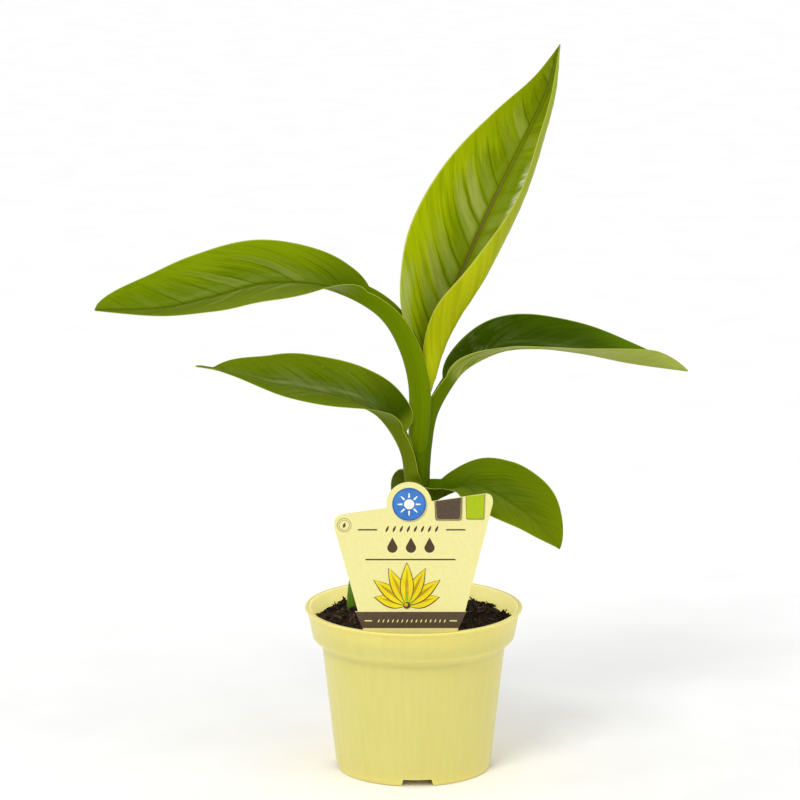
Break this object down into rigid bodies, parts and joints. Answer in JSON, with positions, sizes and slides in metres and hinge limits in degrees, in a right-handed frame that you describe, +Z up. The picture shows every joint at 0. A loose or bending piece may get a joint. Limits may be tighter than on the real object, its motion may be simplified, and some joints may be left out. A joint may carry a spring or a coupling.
{
  "type": "potted banana plant",
  "caption": "Young banana plant with broad arching leaves on a slim green stem, in a round plastic nursery pot with a die-cut plant label.",
  "frame": {"origin": "middle of the pot's flat underside, where it stands", "axes": "+Z up along the stem, +X to the right of someone who reads the label, +Y away from them"},
  "size_m": [0.3241, 0.1204, 0.4026],
  "materials": {
    "pot_plastic": "pale yellow moulded plastic with a soft sheen",
    "potting_soil": "dark brown crumbly peat with bark bits",
    "green_stem": "smooth green leaf sheaths with a faint sheen",
    "label_card": "cream printed plastic card",
    "leaf_light": "young yellow-green leaf with a waxy sheen",
    "leaf_green": "mid-green leaf with a waxy sheen",
    "leaf_dark": "dark green glossy leaf"
  },
  "bodies": {
    "root": {"pot": "pot_plastic", "soil": "potting_soil", "pseudostem": "green_stem", "side_shoot": "green_stem", "label": "label_card", "leaf_top": "leaf_light", "leaf_left_upper": "leaf_green", "leaf_left_lower": "leaf_green", "leaf_right": "leaf_dark", "leaf_lower_right": "leaf_green", "leaf_back": "leaf_dark"}
  },
  "joints": []
}
